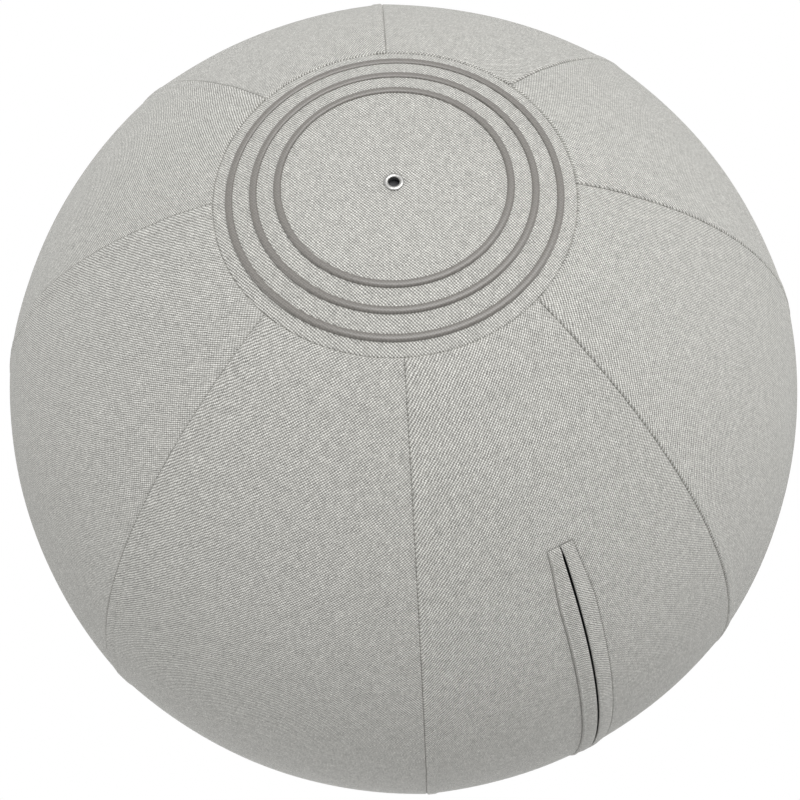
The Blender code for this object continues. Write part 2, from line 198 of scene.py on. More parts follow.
def drift(points, wavelength, seed):
    """A smooth random height from about -1 to 1 that wanders over the points."""
    dice = np.random.default_rng(seed)
    total = np.zeros(points.shape[:-1])
    for _ in range(6):
        way = dice.normal(size=3)
        way *= math.tau / wavelength * dice.uniform(0.6, 1.4) / np.linalg.norm(way)
        total += np.sin(points @ way + dice.uniform(0, math.tau))
    return total / 3


def sewn_edge(distance):
    """The height that a sewn edge loses by turning in, this far from the seam."""
    return -ROLL_DEPTH * np.exp(-(distance / ROLL_REACH) ** 2)


def puckers(distance, along, points, seed):
    """The small waves that sewing draws beside a seam."""
    phase = 2.2 * drift(points, 60 * MM, seed)
    return 0.1 * MM * np.exp(-distance / (7 * MM)) * np.sin(math.tau * along / (13 * MM) + phase)


def spread(low, high, count, ends=EDGE_STEPS):
    """Places from low to high, two numbers or arrays: fine steps at both ends, count even ones between."""
    low, high = (np.asarray(end, float)[..., None] for end in (low, high))
    fit = np.minimum(1, (high - low) / (2.4 * ends[-1]))
    first, last = low + ends * fit, high - ends[::-1] * fit
    share = np.arange(1, count) / count
    return np.concatenate([first, first[..., -1:] + (last[..., :1] - first[..., -1:]) * share, last], -1)


# ---- Meshes

def grid_quads(rows, columns, wrap_rows=False, wrap_columns=False):
    """Corners of the cells of a grid of points, counted row by row."""
    row = np.arange(rows if wrap_rows else rows - 1)[:, None]
    column = np.arange(columns if wrap_columns else columns - 1)[None, :]
    next_row, next_column = (row + 1) % rows, (column + 1) % columns
    corners = ((row, column), (row, next_column), (next_row, next_column), (next_row, column))
    return np.stack([np.broadcast_arrays(r * columns + c)[0] for r, c in corners], -1).reshape(-1, 4)


def piece(name, points, faces, material, uv=None, sharp=40):
    """A smooth-shaded object. uv holds a place on the cloth for each point."""
    mesh = bpy.data.meshes.new(name)
    mesh.from_pydata(np.asarray(points).reshape(-1, 3).tolist(), [], faces)
    if uv is not None:
        corner = np.empty(len(mesh.loops), int)
        mesh.loops.foreach_get("vertex_index", corner)
        layer = mesh.uv_layers.new(name="cloth")
        layer.data.foreach_set("uv", np.asarray(uv).reshape(-1, 2)[corner].ravel())
    mesh.materials.append(material)
    mesh.shade_smooth()
    mesh.set_sharp_from_angle(angle=math.radians(sharp))
    made = bpy.data.objects.new(name, mesh)
    bpy.context.scene.collection.objects.link(made)
    return made


def weld(made, reach=1e-6):
    """Joins the points of a mesh that coincide, as at a pole."""
    bm = bmesh.new()
    bm.from_mesh(made.data)
    bmesh.ops.remove_doubles(bm, verts=bm.verts, dist=reach)
    bm.to_mesh(made.data)
    bm.free()


def cloth_piece(name, outer, inner, quads, uv, material):
    """A closed sheet of cloth between two faces of matching points, with quads seen from outside."""
    used, quads = np.unique(quads, return_inverse=True)
    quads = quads.reshape(-1, 4)
    outer, inner, uv = (np.asarray(grid).reshape(-1, grid.shape[-1])[used] for grid in (outer, inner, uv))
    count = len(used)
    start, end = quads.ravel(), np.roll(quads, -1, 1).ravel()
    rim = ~np.isin(end * count + start, start * count + end)
    start, end = start[rim], end[rim]
    walls = np.stack([end, start, start + count, end + count], -1)
    faces = np.concatenate([quads, quads[:, ::-1] + count, walls])
    points, places = np.concatenate([outer, inner]), np.concatenate([uv, uv])
    return piece(name, points, faces.tolist(), material, places, 60)


def strip(name, sections, material, along, sharp=40):
    """A closed strip through sections, an array of rows of points, with along the length at each row."""
    rows, columns = sections.shape[:2]
    quads = grid_quads(rows, columns, wrap_columns=True)
    caps = [list(range(columns))[::-1], list(range((rows - 1) * columns, rows * columns))]
    girth = np.linalg.norm(np.diff(sections[rows // 2], axis=0), axis=-1)
    round_it = np.concatenate([[0], np.cumsum(girth)])
    uv = np.stack(np.meshgrid(round_it, along), -1)
    return piece(name, sections, quads.tolist() + caps, material, uv, sharp)


def turned(name, outline, count, material, frame_of=None, sharp=40):
    """The closed ring that (radius, height) points sweep round an axis, which is Z unless frame_of says."""
    outline = np.asarray(outline)
    turn = (math.tau * np.arange(count) / count)[:, None]
    radius, height = outline[None, :, 0], outline[None, :, 1]
    points = np.stack(np.broadcast_arrays(radius * np.sin(turn), -radius * np.cos(turn), height), -1)
    matrix = np.array(frame_of or Matrix.Translation(CENTRE))
    points = points @ matrix[:3, :3].T + matrix[:3, 3]
    quads = grid_quads(count, len(outline), True, True)
    return piece(name, points, quads.tolist(), material, sharp=sharp)


def arc(centre, radius, first, last, count):
    """Points on an arc of an outline, with its angles in degrees."""
    turn = np.radians(np.linspace(first, last, count))
    return np.stack([centre[0] + radius * np.cos(turn), centre[1] + radius * np.sin(turn)], -1)


# ---- Materials

class Nodes:
    """A short way to write a node tree."""

    def __init__(self, tree):
        self.tree = tree

    def add(self, kind, **settings):
        node = self.tree.nodes.new(kind)
        for name, value in settings.items():
            setattr(node, name, value)
        return node

    def feed(self, socket, value):
        if isinstance(value, bpy.types.NodeSocket):
            self.tree.links.new(value, socket)
        elif value is not None:
            socket.default_value = value

    def math(self, operation, first, second=None):
        node = self.add("ShaderNodeMath", operation=operation)
        self.feed(node.inputs[0], first)
        self.feed(node.inputs[1], second)
        return node.outputs[0]

    def ramp(self, value, low, high, to_low=0.0, to_high=1.0):
        node = self.add("ShaderNodeMapRange", interpolation_type="SMOOTHSTEP")
        for socket, given in zip(node.inputs, (value, low, high, to_low, to_high)):
            self.feed(socket, given)
        return node.outputs[0]

    def mix(self, share, first, second):
        node = self.add("ShaderNodeMix", data_type="RGBA")
        self.feed(node.inputs["Factor"], share)
        self.feed(node.inputs[6], first)
        self.feed(node.inputs[7], second)
        return node.outputs[2]

    def noise(self, vector, scale, detail=2.0, roughness=0.5):
        node = self.add("ShaderNodeTexNoise")
        self.feed(node.inputs["Vector"], vector)
        self.feed(node.inputs["Scale"], scale)
        self.feed(node.inputs["Detail"], detail)
        self.feed(node.inputs["Roughness"], roughness)
        return node.outputs[0]

    def vector(self, x, y, z=0.0):
        node = self.add("ShaderNodeCombineXYZ")
        for socket, value in zip(node.inputs, (x, y, z)):
            self.feed(socket, value)
        return node.outputs[0]

    def bump(self, height, distance, strength=1.0, normal=None):
        node = self.add("ShaderNodeBump")
        self.feed(node.inputs["Height"], height)
        self.feed(node.inputs["Distance"], distance)
        self.feed(node.inputs["Strength"], strength)
        self.feed(node.inputs["Normal"], normal)
        return node.outputs[0]

    def cloth_place(self):
        """The two places on the cloth, across the warp and along it, in metres."""
        place = self.add("ShaderNodeSeparateXYZ")
        self.feed(place.inputs[0], self.add("ShaderNodeUVMap", uv_map="cloth").outputs[0])
        return place.outputs[0], place.outputs[1]

    def object_place(self):
        return self.add("ShaderNodeTexCoord").outputs["Object"]


def principled(name, colour, roughness, **inputs):
    """A material, its node writer and its Principled shader."""
    made = bpy.data.materials.new(name)
    made.use_nodes = True
    shader = made.node_tree.nodes["Principled BSDF"]
    shader.inputs["Base Color"].default_value = (*colour, 1)
    shader.inputs["Roughness"].default_value = roughness
    for socket, value in inputs.items():
        shader.inputs[socket.replace("_", " ")].default_value = value
    return made, Nodes(made.node_tree), shader.inputs


def weave_height(nodes, across, along, pitch, slant=0.5):
    """The over-and-under of a weave: positive where the warp is on top, negative where the weft is.

    A plain weave has a slant of 0.5. Towards 1 its diagonal lines grow stronger one way, as in a twill.
    """
    ways = [nodes.math(operation, across, along) for operation in ("SUBTRACT", "ADD")]
    waves = [nodes.math("COSINE", nodes.math("MULTIPLY", way, math.pi / pitch)) for way in ways]
    shares = [nodes.math("MULTIPLY", wave, share) for wave, share in zip(waves, (slant, slant - 1))]
    return nodes.math("ADD", *shares)


def tones(nodes, value, colour, share):
    """A colour that varies by this share up and down with the value."""
    low, high = ((*(min(1, c * scale) for c in colour), 1) for scale in (1 - share, 1 + share))
    return nodes.mix(nodes.ramp(value, 0.3, 0.7), low, high)


def woven(name, warp, weft, pitch, roughness, bump, sheen, slant=0.5):
    """A weave of two colours of yarn. Each yarn has its own tone, which varies along it."""
    made, nodes, inputs = principled(name, warp, roughness, Sheen_Weight=sheen, Sheen_Roughness=0.5)
    across, along = nodes.cloth_place()
    place = nodes.vector(across, along)
    wander = nodes.math("MULTIPLY", nodes.noise(place, 240, 3, 0.6), 1.1 * pitch)
    across_wavy = nodes.math("ADD", across, wander)
    along_wavy = nodes.math("SUBTRACT", along, wander)
    over = weave_height(nodes, across_wavy, along_wavy, pitch, slant)

    yarns = [nodes.math("FLOOR", nodes.math("DIVIDE", way, pitch)) for way in (across_wavy, along_wavy)]
    number = [nodes.math("MULTIPLY", yarn, 3.7) for yarn in yarns]
    warp_place = nodes.vector(number[0], nodes.math("MULTIPLY", along, 170))
    weft_place = nodes.vector(nodes.math("MULTIPLY", across, 170), number[1], 9.1)
    light = tones(nodes, nodes.noise(warp_place, 1, 2, 0.7), warp, 0.2)
    dark = tones(nodes, nodes.noise(weft_place, 1, 2, 0.7), weft, 0.28)
    fibre = nodes.noise(place, 2600, 2, 0.6)
    nodes.feed(inputs["Base Color"], nodes.mix(nodes.ramp(over, -0.35, 0.5), dark, light))
    crown = nodes.math("POWER", nodes.math("ABSOLUTE", over), 0.5)
    height = nodes.math("ADD", crown, nodes.math("MULTIPLY", fibre, 0.35))
    nodes.feed(inputs["Normal"], nodes.bump(height, bump))
    nodes.feed(inputs["Roughness"], nodes.ramp(fibre, 0.3, 0.7, roughness - 0.06, roughness + 0.04))
    return made


def silicone_material():
    """Taupe silicone that has soaked into the weave and still shows it."""
    colour = (0.187, 0.176, 0.161)
    made, nodes, inputs = principled("taupe_silicone", colour, 0.5, Coat_Weight=0.5, Coat_Roughness=0.18)
    place = nodes.add("ShaderNodeSeparateXYZ")
    nodes.feed(place.inputs[0], nodes.object_place())
    over = weave_height(nodes, place.outputs[0], place.outputs[1], YARN, CLOTH_SLANT)
    cloud = nodes.noise(nodes.object_place(), 900, 3)
    tone = nodes.math("ADD", nodes.math("MULTIPLY", over, 0.22), cloud)
    nodes.feed(inputs["Base Color"], tones(nodes, tone, colour, 0.2))
    nodes.feed(inputs["Roughness"], nodes.ramp(cloud, 0.3, 0.7, 0.42, 0.58))
    nodes.feed(inputs["Normal"], nodes.bump(tone, 0.1 * MM))
    return made


def metal(name, bright, dull, roughness, scale=700):
    """Plated metal with fine scratches, and duller where it is handled."""
    made, nodes, inputs = principled(name, bright, roughness, Metallic=1.0)
    place = nodes.object_place()
    cloud = nodes.noise(place, scale, 4, 0.6)
    grain = nodes.noise(place, scale * 9, 2, 0.7)
    nodes.feed(inputs["Base Color"], nodes.mix(nodes.ramp(cloud, 0.35, 0.7), (*bright, 1), (*dull, 1)))
    nodes.feed(inputs["Roughness"], nodes.ramp(cloud, 0.3, 0.75, roughness * 0.75, roughness * 1.5))
    nodes.feed(inputs["Normal"], nodes.bump(grain, 0.01 * MM))
    return made


def moulded(name, low, high, roughness, scale, bump, **inputs_given):
    """Rubber, nylon or plastic with a mottled tone and a fine moulded grain."""
    made, nodes, inputs = principled(name, high, roughness, **inputs_given)
    place = nodes.object_place()
    cloud = nodes.noise(place, scale, 3, 0.6)
    grain = nodes.noise(place, scale * 12, 2, 0.6)
    nodes.feed(inputs["Base Color"], nodes.mix(nodes.ramp(cloud, 0.3, 0.7), (*low, 1), (*high, 1)))
    nodes.feed(inputs["Roughness"], nodes.ramp(grain, 0.3, 0.7, roughness - 0.08, roughness + 0.08))
    nodes.feed(inputs["Normal"], nodes.bump(grain, bump))
    return made


def floor_material():
    """Pale floor that shows only from above, so that a view from below sees the ball, and fades out."""
    made, nodes, inputs = principled("pale_floor", (0.86, 0.86, 0.85), 0.7)
    cloud = nodes.noise(nodes.object_place(), 3, 3)
    nodes.feed(inputs["Base Color"], tones(nodes, cloud, (0.86, 0.86, 0.855), 0.02))
    output = made.node_tree.nodes["Material Output"]
    choice = nodes.add("ShaderNodeMixShader")
    away = nodes.add("ShaderNodeVectorMath", operation="LENGTH")
    nodes.feed(away.inputs[0], nodes.object_place())
    faded = nodes.ramp(away.outputs["Value"], FLOOR_CLEAR, FLOOR_GONE)
    below = nodes.add("ShaderNodeNewGeometry").outputs["Backfacing"]
    nodes.feed(choice.inputs[0], nodes.math("MAXIMUM", below, faded))
    nodes.feed(choice.inputs[1], made.node_tree.nodes["Principled BSDF"].outputs[0])
    nodes.feed(choice.inputs[2], nodes.add("ShaderNodeBsdfTransparent").outputs[0])
    nodes.feed(output.inputs[0], choice.outputs[0])
    return made


CLOTH_SLANT = 0.6
CLOTH_LOOK = woven(
    "melange_cloth", (0.70, 0.695, 0.66), (0.265, 0.26, 0.24), YARN, 0.92, 0.2 * MM, 0.1, CLOTH_SLANT
)
TAPE_LOOK = woven(
    "zip_tape_weave", (0.035, 0.036, 0.038), (0.02, 0.021, 0.023), 0.6 * MM, 0.75, 0.1 * MM, 0.05
)
SILICONE_LOOK = silicone_material()
STEEL_LOOK = metal("nickel_steel", (0.56, 0.555, 0.54), (0.40, 0.395, 0.38), 0.36)
ZIP_METAL_LOOK = metal("gunmetal", (0.10, 0.10, 0.105), (0.2, 0.2, 0.2), 0.35)
COIL_LOOK = moulded("zip_nylon", (0.016, 0.017, 0.019), (0.032, 0.033, 0.037), 0.45, 900, 0.02 * MM)
VINYL_LOOK = moulded("charcoal_vinyl", (0.03, 0.031, 0.034), (0.05, 0.051, 0.055), 0.5, 60, 0.1 * MM)
PLUG_LOOK = moulded("white_plastic", (0.72, 0.72, 0.70), (0.82, 0.82, 0.80), 0.35, 300, 0.02 * MM)


# ---- The cover

def sheet_piece(made, replaces):
    """Hides the CAD node that a finished piece of the cover replaces, and attaches the piece to the ball."""
    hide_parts(replaces)
    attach(made, "ball")
    return made


def facing(polar, azimuth):
    """The lift from the facing sewn in behind the base seam."""
    edge = BASE_SEAM + FACING_EDGE - FACING_SHIFT * np.cos(azimuth)
    return FACING_LIFT * (1 - smooth((polar - edge) * BALL_RADIUS / (2.5 * MM)))


def panel(number, zip_slot=False):
    """One gore of the cover, cut along its seams. The zip's panel has the slot that the welts fill."""
    middle = ZIP_AZIMUTH + number * math.tau / PANEL_COUNT
    gap = SEAM_GAP / BALL_RADIUS
    stops = [BASE_SEAM + gap, TOP_SEAM - gap]
    if zip_slot:
        stops[1:1] = [ZIP_START, ZIP_END]
    blocks = []
    for low, high in zip(stops, stops[1:]):
        count = max(2, round((high - low) * BALL_RADIUS / (3.6 * MM)))
        blocks.append(spread(low, high, count, ROW_STEPS / BALL_RADIUS))
    polar = np.concatenate([blocks[0]] + [block[1:] for block in blocks[1:]])
    half = BALL_RADIUS * np.sin(polar) * math.pi / PANEL_COUNT - SEAM_GAP
    slot = SLOT_HALF * slot_share(polar)
    if zip_slot:
        beside = spread(-half, -slot, 18)
        within = np.linspace(-slot, slot, SLOT_CELLS + 1, axis=-1)
        x = np.concatenate([beside, within[:, 1:-1], -beside[:, ::-1]], -1)
    else:
        x = spread(-half, half, 44)

    polar, half, slot = polar[:, None], half[:, None], slot[:, None]
    azimuth = middle + x / (BALL_RADIUS * np.sin(polar))
    before, after = x + half, half - x
    from_base, from_top = (polar - BASE_SEAM) * BALL_RADIUS, (TOP_SEAM - polar) * BALL_RADIUS
    along = polar * BALL_RADIUS + 0 * x
    radius = cover_radius(polar, x / half)
    sphere = on_ball(polar, azimuth, radius)
    lift = ALLOWANCE_LIFT * (1 - smooth((after - ALLOWANCE) / ALLOWANCE_STEP + 0.5))
    lift = lift + facing(polar, azimuth)
    lift = lift + 0.22 * MM * drift(sphere, 110 * MM, 5) * smooth(np.minimum(before, after) / (20 * MM))
    for distance, seed in ((before, 11), (after, 12)):
        lift = lift + sewn_edge(distance) + puckers(distance, along, sphere, seed)
    lift = lift + sewn_edge(from_base) + sewn_edge(from_top) + puckers(from_base, azimuth * 0.11, sphere, 13)
    if zip_slot:
        past_side = np.maximum(np.abs(x) - slot, 0)
        past_end = np.maximum(np.maximum(ZIP_START - polar, polar - ZIP_END), 0) * BALL_RADIUS
        roll = np.where(x > 0, 0.35, 0.75)
        lift = lift + roll * sewn_edge(np.hypot(past_side, past_end))
    outer = on_ball(polar, azimuth, radius + lift)
    inner = on_ball(polar, azimuth, np.minimum(radius + lift, radius) - CLOTH)

    quads = grid_quads(*x.shape)
    if zip_slot:
        row, column = np.divmod(quads[:, 0], x.shape[1])
        first_row, first_column = len(blocks[0]) - 1, beside.shape[1] - 1
        in_rows = (row >= first_row) & (row < first_row + len(blocks[1]) - 1)
        in_columns = (column >= first_column) & (column < first_column + SLOT_CELLS)
        quads = quads[~(in_rows & in_columns)]
    uv = np.stack([x + 0.37 * number, along + 0.11 * number], -1)
    node = "zip_panel" if zip_slot else f"side_panel_{number}"
    made = cloth_piece(f"{node}_cloth", outer, inner, quads, uv, CLOTH_LOOK)
    sheet_piece(made, node)


def round_cloth(node, radii, height, facing_up):
    """A round sheet about the ball's axis. height gives its outer face above the centre at each radius."""
    count = 288
    turn = math.tau * np.arange(count) / count
    radius = radii[:, None]
    place = np.stack([radius * np.sin(turn), -radius * np.cos(turn)], -1)
    level = CENTRE.z + height(radius) + 0 * turn
    outward = 1 if facing_up else -1
    outer = np.concatenate([place, level[..., None]], -1)
    waves = 0.08 * MM * drift(outer, 60 * MM, 21) * smooth((radii[-1] - radius) / (15 * MM))
    outer[..., 2] += outward * waves
    inner = outer - np.array((0, 0, outward * CLOTH))
    quads = grid_quads(len(radii), count, wrap_columns=True)
    if facing_up:
        quads = quads[:, ::-1]
    made = cloth_piece(f"{node}_cloth", outer, inner, quads, place, CLOTH_LOOK)
    if radii[0] == 0:
        weld(made)
    return sheet_piece(made, node)


def base_disc():
    """The disc under the ball, with a hole for the eyelet, which draws the cloth in round its flange."""
    edge = BALL_RADIUS * math.sin(BASE_SEAM) - SEAM_GAP
    hole = EYELET_BARREL + GAP
    radii = spread(hole, edge, 52, EDGE_STEPS)

    def height(radius):
        slant = (edge - radius) / math.cos(BASE_SEAM)
        dent = 0.5 * MM * np.exp(-(((radius - EYELET_FLANGE - 0.6 * MM) / MM) ** 2))
        return dent - cover_depth(radius) - sewn_edge(slant)

    round_cloth("base_disc", radii, height, False)


def top_cap():
    """The round piece that the panels meet at on top."""
    rim = math.pi - TOP_SEAM
    edge = BALL_RADIUS * math.sin(rim) - SEAM_GAP
    radii = np.concatenate([np.linspace(0, edge - EDGE_STEPS[-1], 24)[:-1], edge - EDGE_STEPS[::-1]])

    def height(radius):
        return np.sqrt(BALL_RADIUS**2 - radius**2) + sewn_edge(edge - radius)

    round_cloth("top_cap", radii, height, True)


# ---- What is on the base disc

def anti_slip_ring(label):
    """A low bead of silicone with a broad crown. Its foot follows the cloth, and its crown is level."""
    node = f"anti_slip_ring_{label}"
    low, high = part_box(node)
    radius = high.x - RING_WIDTH / 2
    crown = CENTRE.z - low.z
    turn = np.radians(np.linspace(0, 180, 25))
    reach = radius + RING_WIDTH / 2 * np.sign(np.cos(turn)) * np.abs(np.cos(turn)) ** 0.75
    foot = cover_depth(reach) + GAP / 2
    face = -(foot + (crown - foot) * np.sin(turn) ** 0.8)
    outline = np.stack([reach, face], -1)
    back = np.stack([reach[::-1][1:-1], -(foot - GAP / 4)[::-1][1:-1]], -1)
    made = turned(f"{node}_bead", np.concatenate([outline, back]), 256, SILICONE_LOOK, sharp=70)
    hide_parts(node)
    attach(made, "ball")


def eyelet():
    """A metal eyelet with a rolled flange, clinched over a washer inside."""
    flange = -FLAT_DEPTH - GAP / 2
    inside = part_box("eyelet")[1].z - CENTRE.z
    lip = inside - EYELET_SHEET
    turn = np.radians(np.linspace(180, 360, 21))
    roll = (EYELET_FLANGE - EYELET_MOUTH) / 2
    rolled = np.stack([EYELET_MOUTH + roll * (1 + np.cos(turn)), flange + EYELET_ROLL * np.sin(turn)], -1)
    outline = np.concatenate([
        [(EYELET_BORE, inside), (EYELET_BORE, flange + 0.5 * MM)],
        rolled,
        [(EYELET_BARREL, flange), (EYELET_BARREL, lip), (EYELET_BARREL + 1 * MM, lip)],
        arc((EYELET_BARREL + 0.9 * MM, inside - EYELET_SHEET / 2), EYELET_SHEET / 2, -60, 90, 5),
    ])
    made = turned("eyelet_rolled", outline[::-1], 96, STEEL_LOOK, sharp=35)
    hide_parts("eyelet")
    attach(made, "ball")


def inner_ball():
    """The wall of the inflated ball, turned round its valve, with shallow grooves moulded round it."""
    side = Vector((math.sin(ZIP_AZIMUTH), -math.cos(ZIP_AZIMUTH), 0))
    frame_of = Matrix.Translation(CENTRE) @ side.to_track_quat("Z", "Y").to_matrix().to_4x4()
    hole = math.asin((SEAT_RADIUS + GAP) / BLADDER_RADIUS)
    angle = np.linspace(hole, math.pi - 1e-5, 240)
    fade = smooth((angle - 0.35) / 0.1) * smooth((2.8 - angle) / 0.1)
    groove = 0.5 * MM * smooth(6 * (np.cos(angle * 24) - 0.8)) * fade
    round_it = np.stack([np.sin(angle), np.cos(angle)], -1)
    outer = (BLADDER_RADIUS - groove)[:, None] * round_it
    inner = (BLADDER_RADIUS - BLADDER_WALL) * round_it
    outline = np.concatenate([outer, inner[::-1]])
    made = turned("inner_ball_wall", outline, 160, VINYL_LOOK, frame_of)
    weld(made, 2e-5)
    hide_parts("inner_ball")
    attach(made, "ball")


# ---- The zip

def strip_rows(first, last, spacing):
    count = max(2, round((last - first) * BALL_RADIUS / spacing))
    return np.linspace(first, last, count + 1)


def welt(side):
    """A strip of cloth folded double, with its fold beside the zip. The right one stands proud outside."""
    label = "left" if side < 0 else "right"
    polar = strip_rows(ZIP_START + GAP / BALL_RADIUS, ZIP_END - GAP / BALL_RADIUS, 2 * MM)
    ends = np.minimum(polar - ZIP_START, ZIP_END - polar)[:, None]
    from_end = ends * BALL_RADIUS
    crease = 0.075 * MM
    fold = WELT_LAYER + crease
    gap = WELT_CLOSED + (WELT_INNER - WELT_CLOSED) * smooth(ends / math.radians(1.8))
    start, outer = gap + fold, WELT_OUTER * slot_share(polar)[:, None]
    run = np.concatenate([[0, 0.2, 0.4, 0.6, 0.9, 1.3, 1.8, 2.4, 3.2, 4.2], np.linspace(5.2, 9, 5)]) / 9
    x = outer - (outer - start) * run

    outside = outer - x
    slope = smooth((x - 3.6 * MM) / (outer - 3.6 * MM))
    level = WELT_TOP - 0.15 * MM * x / outer + (WELT_EDGE - WELT_TOP) * slope
    if side > 0:
        level = level + WELT_RIDGE * np.exp(-((outside - 0.9 * MM) / (0.7 * MM)) ** 2)
    flush = BALL_RADIUS - PANEL_DIP
    level = flush + (level - flush) * smooth(from_end / (4 * MM))
    level = level + 0.5 * sewn_edge(outside) + 0.3 * sewn_edge(from_end)

    turn = np.radians(np.linspace(90, 270, 9))[1:-1]
    middle = level[:, -1:] - fold

    def bend(radius, way):
        return np.stack([start + radius * np.cos(way), middle + radius * np.sin(way)], -1)

    def layer(depth, way):
        return np.stack([x, level - depth], -1)[:, ::way]

    loop = np.concatenate([
        layer(0, 1), bend(fold, turn), layer(2 * fold, -1),
        layer(fold + crease, 1), bend(crease, turn[::-1]), layer(WELT_LAYER, -1),
    ], 1)
    sections = on_zip(side * loop[..., 0], loop[..., 1], polar[:, None])
    if side < 0:
        sections = sections[:, ::-1]
    along = (polar - ZIP_START) * BALL_RADIUS
    made = strip(f"zip_welt_{label}_cloth", sections, CLOTH_LOOK, along + 0.5, sharp=50)
    sheet_piece(made, f"zip_welt_{label}")


def tape(side):
    """The woven tape that the coil is sewn to, low beside the coil and higher where it meets the panel."""
    label = "left" if side < 0 else "right"
    margin = 3 * MM / BALL_RADIUS
    polar = strip_rows(ZIP_START - margin, ZIP_END + margin, 4 * MM)
    across = np.linspace(TAPE_INNER, TAPE_OUTER, 20)
    rise = (TAPE_SEWN - TAPE_BOTTOM) * smooth((across - TAPE_BEND) / (4 * MM))
    rib = 0.08 * MM * np.cos((across - TAPE_INNER) / (TAPE_OUTER - TAPE_INNER) * math.tau * 3)
    middle = TAPE_BOTTOM + TAPE_THICK / 2 + rise + rib
    half = TAPE_THICK / 2 - 0.08 * MM
    x = np.concatenate([across, across[::-1]]) * side
    z = np.concatenate([middle + half, (middle - half)[::-1]])
    sections = on_zip(x, z, polar[:, None])
    if side > 0:
        sections = sections[:, ::-1]
    made = strip(f"zip_tape_{label}_woven", sections, TAPE_LOOK, polar * BALL_RADIUS, sharp=50)
    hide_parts(f"zip_tape_{label}")
    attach(made, "ball")


def coil(side):
    """One side of the zip's chain: a nylon monofilament wound in flat loops, with a head at the middle."""
    label = "left" if side < 0 else "right"
    first = ZIP_START + (STOP_LENGTH + 3 * GAP) / COIL_TOP
    last = ZIP_END - (STOP_LENGTH + 3 * GAP) / COIL_TOP
    turns = round((last - first) * COIL_TOP / COIL_PITCH)
    per_turn = 10
    step = np.arange(turns * per_turn + 1)
    turn = math.tau * step / per_turn
    middle = (COIL_INNER + COIL_OUTER) / 2, (COIL_TOP + COIL_BOTTOM) / 2
    reach = (COIL_OUTER - COIL_INNER) / 2 - COIL_WIRE, (COIL_TOP - COIL_BOTTOM) / 2 - COIL_WIRE
    margin = COIL_WIRE / COIL_TOP
    polar = np.linspace(first + margin, last - margin, len(step))
    x, z = middle[0] + reach[0] * np.cos(turn), middle[1] + reach[1] * np.sin(turn)
    spine = on_zip(side * x, z, polar)
    ahead = np.gradient(spine, axis=0)
    ahead /= np.linalg.norm(ahead, axis=-1)[:, None]
    out = spine - on_zip(side * middle[0], middle[1], polar)
    out -= (out * ahead).sum(-1)[:, None] * ahead
    out /= np.linalg.norm(out, axis=-1)[:, None]
    third = np.cross(ahead, out)
    ring = (math.tau * np.arange(6) / 6)[:, None]
    sections = spine[:, None] + COIL_WIRE * (out[:, None] * np.cos(ring) + third[:, None] * np.sin(ring))
    made = strip(f"zip_coil_{label}_wound", sections[:, ::-1], COIL_LOOK, step * 1.0, sharp=80)
    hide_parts(f"zip_coil_{label}")
    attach(made, "ball")


def slider_frame():
    """The slider's own frame: origin at the ball's centre, X across the zip, Z out through the slider."""
    out = (PULL_PIN - CENTRE).normalized()
    return Matrix.Translation(CENTRE) @ Matrix((ZIP_AXIS, out.cross(ZIP_AXIS), out)).transposed().to_4x4()


def plate(bm, outline, low, high):
    """Adds a flat solid of this outline of (x, y) points between two heights."""
    base = [bm.verts.new((x, y, low)) for x, y in outline]
    roof = [bm.verts.new((x, y, high)) for x, y in outline]
    bm.faces.new(base[::-1])
    bm.faces.new(roof)
    for i in range(len(outline)):
        bm.faces.new((base[i - 1], base[i], roof[i], roof[i - 1]))


def block(left, right, low, high):
    """The corners of a rectangle."""
    return [(left, low), (right, low), (right, high), (left, high)]


def small_part(name, bm, material, matrix, bevel):
    """Turns bm into a piece with rounded edges."""
    bmesh.ops.recalc_face_normals(bm, faces=bm.faces)
    mesh = bpy.data.meshes.new(name)
    bm.to_mesh(mesh)
    bm.free()
    mesh.transform(matrix)
    mesh.materials.append(material)
    mesh.shade_smooth()
    made = bpy.data.objects.new(name, mesh)
    bpy.context.scene.collection.objects.link(made)
    rounding = made.modifiers.new("rounding", "BEVEL")
    rounding.width = bevel
    rounding.segments = 3
    rounding.limit_method = "ANGLE"
    rounding.angle_limit = math.radians(35)
    rounding.harden_normals = True
    return made


